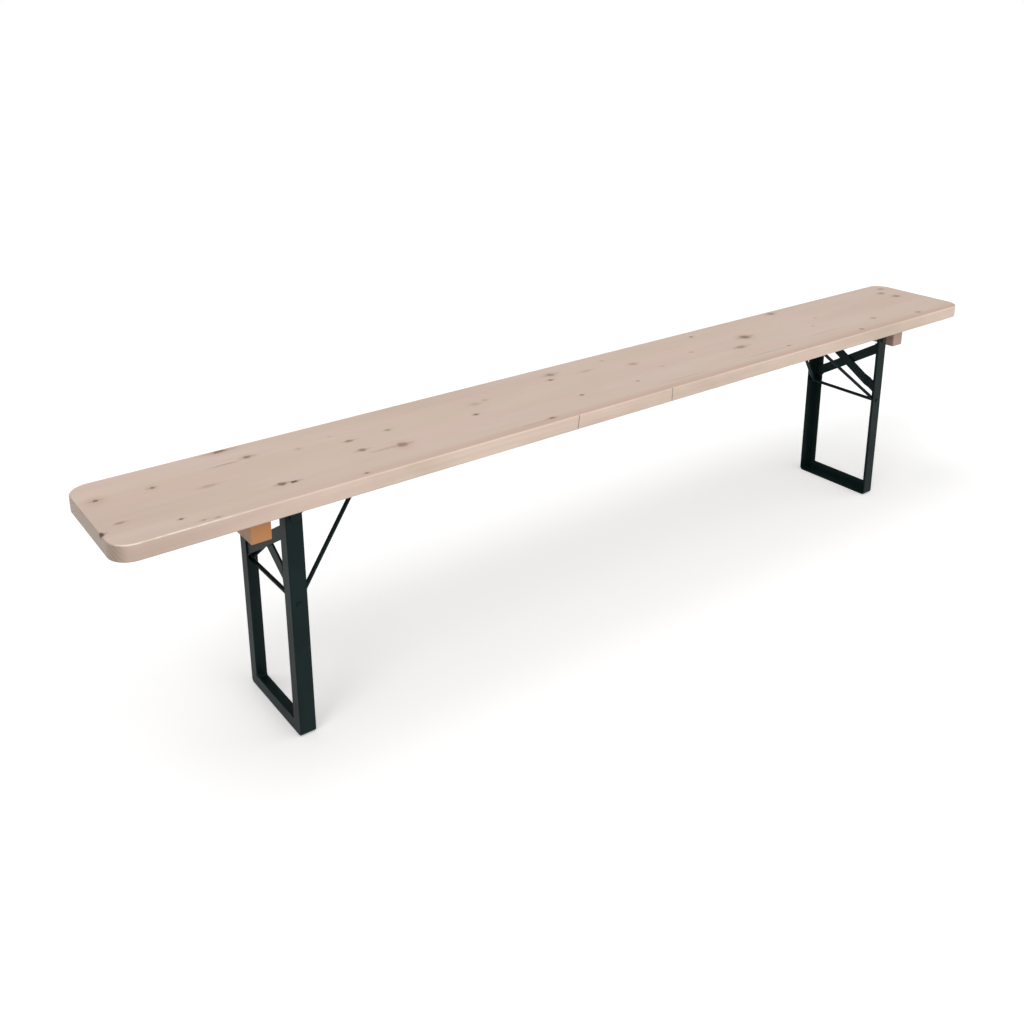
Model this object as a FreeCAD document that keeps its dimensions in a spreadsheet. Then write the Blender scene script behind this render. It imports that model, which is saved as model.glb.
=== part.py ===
"""Folding bench: a long wooden plank on two folding leg frames of angle steel.

Millimetres, +Z up. The origin lies on the floor under the middle of the plank.
X runs along the plank and Y across it. The bench stands open, as in use.
"""
import FreeCAD, Part
import Sketcher

import math
import os
import re

# Driving dimensions: each one is a cell of the sheet, named by its alias
DIMENSIONS = [
    # Seat plank of softwood, with round plan corners and softened edges
    ("plank_length", 2200, "length of the seat plank along X"),
    ("plank_width", 260, "width of the seat plank along Y"),
    ("plank_thick", 30, "thickness of the seat plank"),
    ("seat_height", 471, "floor to the top of the plank"),
    ("plank_corner", 38, "radius of the plank's corners, seen from above"),
    ("plank_edge", 3, "rounding of the plank's upper and lower edges"),
    # Battens under the plank, outside the leg frames
    ("batten_offset", 59.1, "pivots of a leg frame to the middle of the batten beside it"),
    ("batten_width", 37, "width of a batten along X"),
    ("batten_height", 44, "height of a batten below the plank"),
    ("batten_length", 214, "length of a batten across the plank"),
    ("batten_edge", 2.5, "rounding of a batten's edges below the plank"),
    ("batten_screw_pitch", 75, "distance between the screws of a batten"),
    ("batten_screw_radius", 2.5, "radius of a batten screw's shank"),
    ("batten_screw_head", 4.6, "radius of a batten screw's countersunk head"),
    ("batten_screw_lip", 0.3, "height of the rim round a countersunk head"),
    ("batten_screw_play", 0.2, "radial play of a batten screw in the batten"),
    ("batten_screw_bite", 18, "how far a batten screw reaches into the plank"),
    # Leg frames: a U of angle steel with its heel towards the bench's end
    ("frame_inset", 296.6, "plank's end to the pivots of a leg frame"),
    ("frame_width", 208.2, "width of a leg frame over its legs"),
    ("angle_side", 30, "flange of the angle steel round the frame's outside"),
    ("angle_face", 25, "flange of the angle steel in the frame's plane"),
    ("angle_thick", 3, "thickness of the angle steel"),
    ("angle_heel", 2.5, "outer rounding of the angle steel's heel"),
    ("angle_root", 1.5, "inner rounding of the angle steel's root"),
    ("foot_bend", 8, "outer radius of the bends at the foot"),
    ("pivot_drop", 17, "plank's underside to the pivots"),
    ("leg_rise", 12, "how far a leg reaches above its pivot"),
    ("leg_top_round", 12, "rounding of a leg's top towards the middle of the bench"),
    # St Andrew's cross of two flat bars
    ("cross_width", 23, "width of a cross bar"),
    ("cross_thick", 4, "thickness of a cross bar"),
    ("cross_drop", 83, "pivots of a leg frame to the crossing of the bars"),
    ("cross_rise", 64.5, "rise of a bar from the crossing to the leg's outside"),
    ("cross_end_gap", 8, "gap between a bar's end and the leg's outer flange"),
    ("joggle_flat", 58, "crossing to the start of the joggle, along Y"),
    ("joggle_run", 12, "length of the joggle along Y"),
    ("cross_gap", 0.2, "gap between the bars where they cross"),
    # Brace: an axle through the legs and a bow of the same round bar
    ("wire_radius", 4, "radius of the brace's round bar"),
    ("axle_drop", 164.5, "pivots of a leg frame to the brace's axle"),
    ("axle_play", 0.06, "radial play of the axle in the legs"),
    ("axle_head_radius", 5.2, "radius of the axle's upset heads"),
    ("axle_head_thick", 1.6, "thickness of the axle's upset heads"),
    ("brace_length", 250, "axle to the middle of the bow's crosspiece"),
    ("bow_foot_gap", 5.1, "leg's inside face to the bow's centre line at the axle"),
    ("crosspiece_half", 18, "half the crosspiece, to the crossing of its centre lines"),
    ("bow_bend", 10, "centre line radius of the bow's bends"),
    # Catch under the plank that holds the crosspiece
    ("catch_thick", 2.5, "thickness of the catch plate"),
    ("catch_gap", 1, "crosspiece to the catch plate above it"),
    ("catch_half_width", 19, "half the width of the catch plate"),
    ("catch_outer", 34, "crosspiece to the catch plate's outer end"),
    ("catch_inner", 56, "crosspiece to the catch plate's inner end"),
    ("catch_corner", 5, "corner radius of the catch plate"),
    ("hook_thick", 2, "thickness of the hook's strap"),
    ("hook_half_width", 7, "half the width of the hook's strap"),
    ("hook_foot", 12, "length of the hook's foot under the catch plate"),
    ("hook_wrap", 70, "degrees that the hook turns under the crosspiece"),
    ("hook_gap", 0.8, "gap between the hook and the crosspiece"),
    ("hook_root", 1.5, "inner radius of the bend between the hook and its foot"),
    ("tongue_thick", 1.2, "thickness of the spring tongue"),
    ("tongue_half_width", 6, "half the width of the spring tongue"),
    ("tongue_pivot", 42, "crosspiece to the tongue's rivet"),
    ("tongue_tip", 8, "crosspiece to the tongue's tip"),
    ("tongue_slope", 30, "length of the tongue's sloping part along X"),
    ("tongue_dip", 1.5, "how far the tongue's tip hangs below its flat part"),
    ("tongue_tail", 8, "rivet to the tongue's rear end"),
    ("tongue_corner", 3, "corner radius of the tongue's tip"),
    ("tongue_gap", 0.35, "clearance round the tongue's seat"),
    ("tongue_rivet", 2, "radius of the tongue's rivet"),
    ("tongue_rivet_head", 4, "radius of the tongue rivet's head"),
    ("tongue_rivet_rise", 1.4, "thickness of the tongue rivet's head"),
    # Hinge brackets, their pivot rivets and washers
    ("bracket_thick", 3, "thickness of a hinge bracket"),
    ("bracket_cheek", 11, "half width and round end of a bracket's cheek"),
    ("bracket_outer", 26, "pivot to the bracket's end towards the batten"),
    ("bracket_inner", 34, "pivot to the bracket's end towards the middle"),
    ("bracket_depth", 34, "width of the bracket's foot along Y"),
    ("bracket_bend", 2, "inner radius of the bracket's bend"),
    ("bracket_corner", 5, "corner radius of the bracket's foot"),
    ("bracket_neck", 4, "pivot to the start of the cheek's slanted edge, along Z"),
    ("pivot_radius", 4, "radius of a pivot rivet"),
    ("pivot_play", 0.06, "radial play of a pivot rivet"),
    ("pivot_head_radius", 8, "radius of a pivot rivet's heads"),
    ("pivot_head_thick", 3.2, "thickness of a pivot rivet's heads"),
    ("pivot_gap", 0.3, "side play of a leg between its washer and the rivet's head"),
    ("washer_radius", 9, "radius of a pivot washer"),
    ("washer_thick", 1.5, "thickness of a pivot washer"),
    ("head_rounding", 0.6, "rounding of a rivet's head as a share of its thickness"),
    # Pan-head wood screws of the brackets and catch plates
    ("screw_radius", 2.2, "radius of a pan-head screw's shank"),
    ("screw_play", 0.2, "radial play of a pan-head screw in its plate"),
    ("screw_head_radius", 4.2, "radius of a pan head"),
    ("screw_head_thick", 2.4, "height of a pan head"),
    ("screw_bite", 15, "how far a pan-head screw reaches into the plank"),
    ("screw_edge", 8, "middle of a screw to the nearest edges of its plate"),
]

# Places worked out from the driving dimensions, as formulas of their aliases
PLANK_UNDER = "(seat_height - plank_thick)"
PIVOT_HEIGHT = f"({PLANK_UNDER} - pivot_drop)"
CROSSING_HEIGHT = f"({PIVOT_HEIGHT} - cross_drop)"
AXLE_HEIGHT = f"({PIVOT_HEIGHT} - axle_drop)"
FRAME_PLACE = "(plank_length / 2 - frame_inset)"
BATTEN_PLACE = f"({FRAME_PLACE} + batten_offset)"
LEG_OUTSIDE = "(frame_width / 2)"
LEG_INSIDE = f"({LEG_OUTSIDE} - angle_thick)"
FACE_OUTSIDE = "(angle_side / 2)"
FACE_INSIDE = f"({FACE_OUTSIDE} - angle_thick)"
WASHER_OUTSIDE = f"({LEG_INSIDE} - pivot_gap)"
CHEEK_OUTSIDE = f"({WASHER_OUTSIDE} - washer_thick)"
CHEEK_INSIDE = f"({CHEEK_OUTSIDE} - bracket_thick)"
BRACKET_BACK = f"({CHEEK_OUTSIDE} - bracket_depth)"
PLATE_UNDER = f"({PLANK_UNDER} - catch_thick)"
CROSSPIECE_HEIGHT = f"({PLATE_UNDER} - catch_gap - wire_radius)"
BRACE_RISE = f"({CROSSPIECE_HEIGHT} - {AXLE_HEIGHT})"
CATCH_PLACE = f"({FRAME_PLACE} - sqrt(brace_length ^ 2 - {BRACE_RISE} ^ 2))"
TONGUE_PLACE = f"({CATCH_PLACE} - tongue_pivot)"
CROSS_SLOPE = f"(cross_rise / {LEG_OUTSIDE})"
CROSS_HALF_TALL = f"(cross_width / 2 * sqrt(1 + {CROSS_SLOPE} ^ 2))"

# The two ends of the bench and the two sides: a name with its sign of X or Y
ENDS = [("left", -1), ("right", 1)]
SIDES = [("front", -1), ("rear", 1)]

doc = FreeCAD.newDocument("FoldingBench")
sheet = doc.addObject("Spreadsheet::Sheet", "Sizes")
for row, (alias, number, meaning) in enumerate(DIMENSIONS, start=1):
    sheet.set(f"A{row}", str(number))
    sheet.setAlias(f"A{row}", alias)
    sheet.set(f"B{row}", meaning)
doc.recompute()

ALIASES = {alias for alias, number, meaning in DIMENSIONS}


def linked(formula):
    """The formula with each alias tied to its cell of the sheet."""
    return re.sub(
        r"[a-z_]+",
        lambda word: "Sizes." + word[0] if word[0] in ALIASES else word[0],
        str(formula))


def number_of(formula):
    """The formula's present value."""
    result = sheet.evalExpression(linked(formula))
    return float(getattr(result, "Value", result))


def near(value, formula):
    """Whether a coordinate lies at the formula's present value."""
    return abs(value - number_of(formula)) < 0.01


def bind(thing, name, formula):
    """Tie one property of an object to a formula of the sheet's cells."""
    thing.setExpression(name, linked(formula))


def outward(sign, distance):
    """A distance towards the bench's end or side of the given sign."""
    return f"({sign} * ({distance}))"


def new_body(label, x="0", y="0", z="0"):
    """An empty body with its own place."""
    body = doc.addObject("PartDesign::Body", label)
    body.Label = label
    bind(body, "Placement.Base.x", x)
    bind(body, "Placement.Base.y", y)
    bind(body, "Placement.Base.z", z)
    return body


def sketch_on(body, role, offset="0"):
    """A sketch on one of the body's origin planes, lifted along the plane's normal."""
    sketch = body.newObject("Sketcher::SketchObject", body.Label + "_sketch")
    plane = next(item for item in body.Origin.OriginFeatures if item.Role == role)
    sketch.AttachmentSupport = (plane, [""])
    sketch.MapMode = "FlatFace"
    bind(sketch, "AttachmentOffset.Base.z", offset)
    return sketch


def hold(sketch, kind, geometry, point, formula):
    """Tie a point's distance from the sketch's origin to a formula."""
    value = number_of(formula)
    index = sketch.addConstraint(Sketcher.Constraint(kind, -1, 1, geometry, point, value))
    bind(sketch, f"Constraints[{index}]", formula)


def draw_polygon(sketch, corners):
    """A closed outline whose corners are tied to pairs of formulas."""
    points = [FreeCAD.Vector(number_of(x), number_of(y), 0) for x, y in corners]
    count = len(points)
    first = sketch.GeometryCount
    for step in range(count):
        sketch.addGeometry(Part.LineSegment(points[step], points[(step + 1) % count]))
    for step, (x, y) in enumerate(corners):
        line = first + step
        following = first + (step + 1) % count
        sketch.addConstraint(Sketcher.Constraint("Coincident", line, 2, following, 1))
        hold(sketch, "DistanceX", line, 1, x)
        hold(sketch, "DistanceY", line, 1, y)


def draw_circle(sketch, x, y, radius):
    """A circle whose centre and radius are tied to formulas."""
    centre = FreeCAD.Vector(number_of(x), number_of(y), 0)
    value = number_of(radius)
    circle = sketch.addGeometry(Part.Circle(centre, FreeCAD.Vector(0, 0, 1), value))
    hold(sketch, "DistanceX", circle, 3, x)
    hold(sketch, "DistanceY", circle, 3, y)
    index = sketch.addConstraint(Sketcher.Constraint("Radius", circle, value))
    bind(sketch, f"Constraints[{index}]", radius)


def rectangle(low_x, low_y, high_x, high_y):
    """The corners of a rectangle, as pairs of formulas."""
    return [(low_x, low_y), (high_x, low_y), (high_x, high_y), (low_x, high_y)]


def draw(body, role, middle, outline, circles):
    """A sketch of one outline and some circles on a plane of the body."""
    sketch = sketch_on(body, role, middle)
    if outline:
        draw_polygon(sketch, outline)
    for x, y, radius in circles:
        draw_circle(sketch, x, y, radius)
    return sketch


def thicken(body, kind, sketch, length):
    """Pad or pocket a sketch by half the length to each side of its plane."""
    feature = body.newObject("PartDesign::" + kind, body.Label + "_" + kind.lower())
    feature.Profile = sketch
    feature.SideType = "Symmetric"
    bind(feature, "Length", length)
    doc.recompute()
    return feature


def pad(body, role, middle, thick, outline=None, circles=()):
    """Add a plate round its middle plane."""
    return thicken(body, "Pad", draw(body, role, middle, outline, circles), thick)


def cut(body, role, middle, depth, outline=None, circles=()):
    """Cut an opening round its middle plane, and make sure that it cuts."""
    before = body.Shape.Volume
    feature = thicken(body, "Pocket", draw(body, role, middle, outline, circles), depth)
    if not body.Shape.Volume < before:
        raise RuntimeError(f"{body.Label}: an opening cuts nothing")
    return feature


def edges_where(shape, test):
    """Names of the edges on which three points pass the test."""
    names = []
    for index, edge in enumerate(shape.Edges, start=1):
        span = edge.LastParameter - edge.FirstParameter
        points = [edge.valueAt(edge.FirstParameter + span * share) for share in (0.1, 0.5, 0.9)]
        if all(test(point) for point in points):
            names.append(f"Edge{index}")
    return names


def dress(body, kind, size_name, size, test):
    """Fillet or chamfer the edges of the body that pass the test."""
    last = body.Tip
    names = edges_where(last.Shape, test)
    if not names:
        raise RuntimeError(f"{body.Label}: no edge to dress")
    feature = body.newObject("PartDesign::" + kind, body.Label + "_" + kind.lower())
    feature.Base = (last, names)
    bind(feature, size_name, size)
    doc.recompute()
    return feature


def round_edges(body, radius, test):
    """Round the edges that pass the test."""
    return dress(body, "Fillet", "Radius", radius, test)


# Screws: where they stand in X and Y, on the plank and on what they hold

BATTEN_SCREW_DEPTHS = ["(0 - batten_screw_pitch)", "0", "batten_screw_pitch"]


def bracket_screws(across):
    """Screws of one bracket: distance from the pivot towards the end, and Y."""
    back = f"({BRACKET_BACK} + screw_edge)"
    beside = f"({CHEEK_INSIDE} - screw_edge)"
    return [
        ("(bracket_outer - screw_edge)", outward(across, back)),
        ("(screw_edge - bracket_inner)", outward(across, back)),
        ("0", outward(across, beside)),
    ]


def catch_screws():
    """Screws of one catch plate: distance from the crosspiece towards the end, and Y."""
    depth = "(catch_half_width - screw_edge)"
    return [
        (span, outward(across, depth))
        for span in ("(catch_outer - screw_edge)", "(screw_edge - catch_inner)")
        for side, across in SIDES
    ]


def pan_screws_of_brackets(sign):
    """Both brackets' screws at one end of the bench, in X and Y."""
    return [
        (outward(sign, f"{FRAME_PLACE} + {span}"), depth)
        for side, across in SIDES
        for span, depth in bracket_screws(across)
    ]


def pan_screws_of_catch(sign):
    """The catch plate's screws at one end of the bench, in X and Y."""
    return [(outward(sign, f"{CATCH_PLACE} + {span}"), depth) for span, depth in catch_screws()]


def make_plank():
    """The seat: one plank with round corners, soft edges and pilot holes."""
    plank = new_body("seat_plank", z=PLANK_UNDER)
    pad(plank, "XY_Plane", "plank_thick / 2", "plank_thick", rectangle(
        "0 - plank_length / 2", "0 - plank_width / 2", "plank_length / 2", "plank_width / 2"))
    round_edges(plank, "plank_corner",
                lambda point: not near(point.z, "0") and not near(point.z, "plank_thick"))
    round_edges(plank, "plank_edge",
                lambda point: near(point.z, "0") or near(point.z, "plank_thick"))
    pan_holes = []
    batten_holes = []
    for end, sign in ENDS:
        for x, y in pan_screws_of_brackets(sign) + pan_screws_of_catch(sign):
            pan_holes.append((x, y, "screw_radius"))
        for depth in BATTEN_SCREW_DEPTHS:
            batten_holes.append((outward(sign, BATTEN_PLACE), depth, "batten_screw_radius"))
    cut(plank, "XY_Plane", "0", "2 * screw_bite", circles=pan_holes)
    cut(plank, "XY_Plane", "0", "2 * batten_screw_bite", circles=batten_holes)
    return plank


def make_batten(end, sign):
    """The batten across the plank's underside, with countersunk screw holes."""
    batten = new_body("batten_" + end, outward(sign, BATTEN_PLACE), "0",
                      f"{PLANK_UNDER} - batten_height")
    pad(batten, "XY_Plane", "batten_height / 2", "batten_height", rectangle(
        "0 - batten_width / 2", "0 - batten_length / 2", "batten_width / 2", "batten_length / 2"))
    round_edges(batten, "batten_edge", lambda point: not near(point.z, "batten_height"))
    hole = "(batten_screw_radius + batten_screw_play)"
    cut(batten, "XY_Plane", "batten_height / 2", "2 * batten_height",
        circles=[("0", depth, hole) for depth in BATTEN_SCREW_DEPTHS])
    reach = number_of("batten_width / 4")
    dress(batten, "Chamfer", "Size", "batten_screw_head + batten_screw_play - batten_screw_radius",
          lambda point: near(point.z, "0") and abs(point.x) < reach
          and abs(point.y) < number_of("batten_screw_pitch") + reach)
    return batten


def make_batten_screws(end, sign):
    """Three countersunk wood screws, flush with the batten's underside."""
    screws = []
    low = f"({PLANK_UNDER} - batten_height)"
    cone_height = "(batten_screw_head - batten_screw_radius)"
    for depth in BATTEN_SCREW_DEPTHS:
        lip = doc.addObject("Part::Cylinder", "screw_lip")
        bind(lip, "Radius", "batten_screw_head")
        bind(lip, "Height", "batten_screw_lip")
        cone = doc.addObject("Part::Cone", "screw_cone")
        bind(cone, "Radius1", "batten_screw_head")
        bind(cone, "Radius2", "batten_screw_radius")
        bind(cone, "Height", cone_height)
        bind(cone, "Placement.Base.z", "batten_screw_lip")
        shank = doc.addObject("Part::Cylinder", "screw_shank")
        bind(shank, "Radius", "batten_screw_radius")
        bind(shank, "Height", "batten_height + batten_screw_bite")
        screw = doc.addObject("Part::MultiFuse", "batten_screw")
        screw.Shapes = [lip, cone, shank]
        screw.Refine = True
        bind(screw, "Placement.Base.x", outward(sign, BATTEN_PLACE))
        bind(screw, "Placement.Base.y", depth)
        bind(screw, "Placement.Base.z", low)
        screws.append(screw)
    bundle = doc.addObject("Part::Compound", "batten_screws_" + end)
    bundle.Links = screws
    return bundle


def make_pan_screws(label, plate_thick, places):
    """Pan-head wood screws that hold a plate against the plank's underside."""
    screws = new_body(label, z=PLANK_UNDER)
    pad(screws, "XY_Plane", f"(screw_bite - {plate_thick}) / 2", f"screw_bite + {plate_thick}",
        circles=[(x, y, "screw_radius") for x, y in places])
    pad(screws, "XY_Plane", f"0 - {plate_thick} - screw_head_thick / 2", "screw_head_thick",
        circles=[(x, y, "screw_head_radius") for x, y in places])
    crown = f"0 - {plate_thick} - screw_head_thick"
    round_edges(screws, "screw_head_thick * head_rounding", lambda point: near(point.z, crown))
    return screws


def make_bracket(end, sign, side, across):
    """Hinge bracket: a foot under the plank and a cheek beside the leg's top."""
    bracket = new_body(f"hinge_bracket_{end}_{side}", outward(sign, FRAME_PLACE), "0",
                       PIVOT_HEIGHT)
    cheek_middle = outward(-across, f"{CHEEK_OUTSIDE} - bracket_thick / 2")
    slant_top = "(pivot_drop - 2 * bracket_thick)"
    pad(bracket, "XZ_Plane", cheek_middle, "bracket_thick", [
        (outward(sign, "bracket_cheek"), "0"),
        (outward(sign, "bracket_cheek"), "pivot_drop"),
        (outward(-sign, "bracket_inner"), "pivot_drop"),
        (outward(-sign, "bracket_inner"), slant_top),
        (outward(-sign, "bracket_cheek"), "bracket_neck"),
        (outward(-sign, "bracket_cheek"), "0"),
    ])
    pad(bracket, "XZ_Plane", cheek_middle, "bracket_thick", circles=[("0", "0", "bracket_cheek")])
    pad(bracket, "XY_Plane", "pivot_drop - bracket_thick / 2", "bracket_thick", rectangle(
        outward(sign, "bracket_outer"), outward(across, CHEEK_OUTSIDE),
        outward(-sign, "bracket_inner"), outward(across, BRACKET_BACK)))
    foot_under = "pivot_drop - bracket_thick"
    round_edges(bracket, "bracket_bend", lambda point: near(point.z, foot_under)
                and near(abs(point.y), CHEEK_INSIDE))
    round_edges(bracket, "bracket_corner", lambda point: point.z > number_of(foot_under) + 0.1
                and near(abs(point.y), BRACKET_BACK) and point.z < number_of("pivot_drop") - 0.1)
    cut(bracket, "XZ_Plane", cheek_middle, "2 * bracket_thick",
        circles=[("0", "0", "pivot_radius + pivot_play")])
    cut(bracket, "XY_Plane", "pivot_drop", "4 * bracket_thick", circles=[
        (outward(sign, span), depth, "screw_radius + screw_play")
        for span, depth in bracket_screws(across)])
    return bracket


def make_pivot_rivets(end, sign):
    """The two rivets on which a leg frame folds, each with two domed heads."""
    rivets = new_body("pivot_rivets_" + end, outward(sign, FRAME_PLACE), "0", PIVOT_HEIGHT)
    seat = f"({LEG_OUTSIDE} + pivot_gap)"
    for side, across in SIDES:
        pad(rivets, "XZ_Plane", outward(-across, f"({seat} + {CHEEK_INSIDE}) / 2"),
            f"{seat} - {CHEEK_INSIDE}", circles=[("0", "0", "pivot_radius")])
        for middle in (f"{seat} + pivot_head_thick / 2", f"{CHEEK_INSIDE} - pivot_head_thick / 2"):
            pad(rivets, "XZ_Plane", outward(-across, middle), "pivot_head_thick",
                circles=[("0", "0", "pivot_head_radius")])
    round_edges(rivets, "pivot_head_thick * head_rounding",
                lambda point: near(abs(point.y), f"{seat} + pivot_head_thick")
                or near(abs(point.y), f"{CHEEK_INSIDE} - pivot_head_thick"))
    return rivets


def make_pivot_washers(end, sign):
    """The washers that keep the legs off the brackets' cheeks."""
    washers = new_body("pivot_washers_" + end, outward(sign, FRAME_PLACE), "0", PIVOT_HEIGHT)
    for side, across in SIDES:
        pad(washers, "XZ_Plane", outward(-across, f"{CHEEK_OUTSIDE} + washer_thick / 2"),
            "washer_thick",
            circles=[("0", "0", "washer_radius"), ("0", "0", "pivot_radius + pivot_play")])
    return washers


def hoop_outline(top, outer_half, inner_half, inner_low):
    """A U that is open at its top, drawn in the plane of the leg frame."""
    return [
        (f"0 - {outer_half}", top),
        (f"0 - {outer_half}", "0"),
        (outer_half, "0"),
        (outer_half, top),
        (inner_half, top),
        (inner_half, inner_low),
        (f"0 - {inner_half}", inner_low),
        (f"0 - {inner_half}", top),
    ]


def make_leg_hoop(end, sign):
    """The U of angle steel: two legs and a foot, notched, bent and welded shut."""
    hoop = new_body("leg_hoop_" + end, outward(sign, FRAME_PLACE))
    top = f"({PIVOT_HEIGHT} + leg_rise)"
    inner_half = f"({LEG_OUTSIDE} - angle_face)"
    pad(hoop, "YZ_Plane", outward(sign, f"{FACE_OUTSIDE} - angle_thick / 2"), "angle_thick",
        hoop_outline(top, LEG_OUTSIDE, inner_half, "angle_face"))
    pad(hoop, "YZ_Plane", "0", "angle_side",
        hoop_outline(top, LEG_OUTSIDE, LEG_INSIDE, "angle_thick"))
    round_edges(hoop, "leg_top_round", lambda point: near(point.z, top)
                and near(-sign * point.x, FACE_OUTSIDE))
    round_edges(hoop, "foot_bend",
                lambda point: near(abs(point.y), LEG_OUTSIDE) and near(point.z, "0"))
    round_edges(hoop, "foot_bend - angle_thick",
                lambda point: near(abs(point.y), LEG_INSIDE) and near(point.z, "angle_thick"))
    bend = number_of("foot_bend")
    leg = number_of(LEG_OUTSIDE)
    wall = number_of("angle_thick")
    round_edges(hoop, "angle_heel", lambda point: near(sign * point.x, FACE_OUTSIDE)
                and not near(point.z, top) and (abs(point.y) > leg - bend or point.z < bend))
    round_edges(hoop, "angle_root", lambda point: near(sign * point.x, FACE_INSIDE)
                and not near(point.z, top) and (abs(point.y) > leg - bend or point.z < bend)
                and abs(point.y) < leg - wall + 0.01 and point.z > wall - 0.01)
    cut(hoop, "XZ_Plane", "0", "2 * frame_width", circles=[
        ("0", PIVOT_HEIGHT, "pivot_radius + pivot_play"),
        ("0", AXLE_HEIGHT, "wire_radius + axle_play")])
    return hoop


def cross_outline(fall):
    """A bar across the frame: it falls to the rear, or rises for a fall of -1."""
    half = f"({LEG_INSIDE} - cross_end_gap)"
    shift = outward(fall, f"{CROSS_SLOPE} * {half}")
    return [
        (f"0 - {half}", f"{shift} + {CROSS_HALF_TALL}"),
        (f"0 - {half}", f"{shift} - {CROSS_HALF_TALL}"),
        (half, f"0 - {shift} - {CROSS_HALF_TALL}"),
        (half, f"0 - {shift} + {CROSS_HALF_TALL}"),
    ]


def make_straight_bar(end, sign):
    """The flat bar of the cross that lies against the legs all the way."""
    bar = new_body("cross_bar_straight_" + end, outward(sign, FRAME_PLACE), "0", CROSSING_HEIGHT)
    pad(bar, "YZ_Plane", outward(sign, f"{FACE_INSIDE} - cross_thick / 2"), "cross_thick",
        cross_outline(1))
    return bar


def make_joggled_bar(end, sign):
    """The other bar of the cross, joggled beside each leg to pass over the straight one."""
    bar = new_body("cross_bar_joggled_" + end, outward(sign, FRAME_PLACE), "0", CROSSING_HEIGHT)
    step = "(cross_thick + cross_gap)"
    inner = f"({FACE_INSIDE} - cross_thick - {step})"
    pad(bar, "YZ_Plane", outward(sign, f"({FACE_INSIDE} + {inner}) / 2"), f"cross_thick + {step}",
        cross_outline(-1))
    joggle_end = "(joggle_flat + joggle_run)"
    tall = f"4 * (cross_rise + {CROSS_HALF_TALL})"
    cut(bar, "XY_Plane", "0", tall, [
        (outward(sign, FACE_INSIDE), f"0 - {joggle_end}"),
        (outward(sign, FACE_INSIDE), joggle_end),
        (outward(sign, f"{FACE_INSIDE} - {step}"), "joggle_flat"),
        (outward(sign, f"{FACE_INSIDE} - {step}"), "0 - joggle_flat"),
    ])
    for side, across in SIDES:
        cut(bar, "XY_Plane", "0", tall, [
            (outward(sign, f"{FACE_INSIDE} - cross_thick"), outward(across, LEG_OUTSIDE)),
            (outward(sign, f"{FACE_INSIDE} - cross_thick"), outward(across, joggle_end)),
            (outward(sign, inner), outward(across, "joggle_flat")),
            (outward(sign, inner), outward(across, LEG_OUTSIDE)),
        ])
    return bar


def make_brace_axle(end, sign):
    """The round rod through both legs, upset to a head at each end."""
    axle = new_body("brace_axle_" + end, outward(sign, FRAME_PLACE), "0", AXLE_HEIGHT)
    seat = f"({LEG_OUTSIDE} + pivot_gap)"
    pad(axle, "XZ_Plane", "0", f"2 * {seat}", circles=[("0", "0", "wire_radius")])
    for side, across in SIDES:
        pad(axle, "XZ_Plane", outward(-across, f"{seat} + axle_head_thick / 2"),
            "axle_head_thick", circles=[("0", "0", "axle_head_radius")])
    round_edges(axle, "axle_head_thick * head_rounding",
                lambda point: near(abs(point.y), f"{seat} + axle_head_thick"))
    return axle


def draw_bow_path(sketch):
    """Half the bow: from the crosspiece's middle round its bend and down to the axle."""
    reach = number_of("brace_length")
    corner = number_of("crosspiece_half")
    foot = number_of(f"{LEG_INSIDE} - bow_foot_gap")
    bend = number_of("bow_bend")
    middle = FreeCAD.Vector(reach, 0, 0)
    corner_point = FreeCAD.Vector(reach, corner, 0)
    foot_point = FreeCAD.Vector(0, foot, 0)
    arm = (foot_point - corner_point).normalize()
    turn = math.acos(arm.y)
    tangent = bend * math.tan(turn / 2)
    bend_start = corner_point - FreeCAD.Vector(0, tangent, 0)
    bend_end = corner_point + arm * tangent
    centre = bend_start - FreeCAD.Vector(bend, 0, 0)
    half_way = centre + FreeCAD.Vector(math.cos(turn / 2), math.sin(turn / 2), 0) * bend
    cross_line = sketch.addGeometry(Part.LineSegment(middle, bend_start))
    arc = sketch.addGeometry(Part.Arc(bend_start, half_way, bend_end))
    arm_line = sketch.addGeometry(Part.LineSegment(bend_end, foot_point))
    guide = sketch.addGeometry(Part.Point(corner_point), True)
    hold(sketch, "DistanceX", cross_line, 1, "brace_length")
    hold(sketch, "DistanceY", cross_line, 1, "0")
    hold(sketch, "DistanceX", arm_line, 2, "0")
    hold(sketch, "DistanceY", arm_line, 2, f"{LEG_INSIDE} - bow_foot_gap")
    hold(sketch, "DistanceX", guide, 1, "brace_length")
    hold(sketch, "DistanceY", guide, 1, "crosspiece_half")
    sketch.addConstraint(Sketcher.Constraint("Vertical", cross_line))
    sketch.addConstraint(Sketcher.Constraint("PointOnObject", guide, 1, arm_line))
    sketch.addConstraint(Sketcher.Constraint("Tangent", cross_line, 2, arc, 1))
    sketch.addConstraint(Sketcher.Constraint("Tangent", arc, 2, arm_line, 1))
    index = sketch.addConstraint(Sketcher.Constraint("Radius", arc, bend))
    bind(sketch, f"Constraints[{index}]", "bow_bend")


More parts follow.
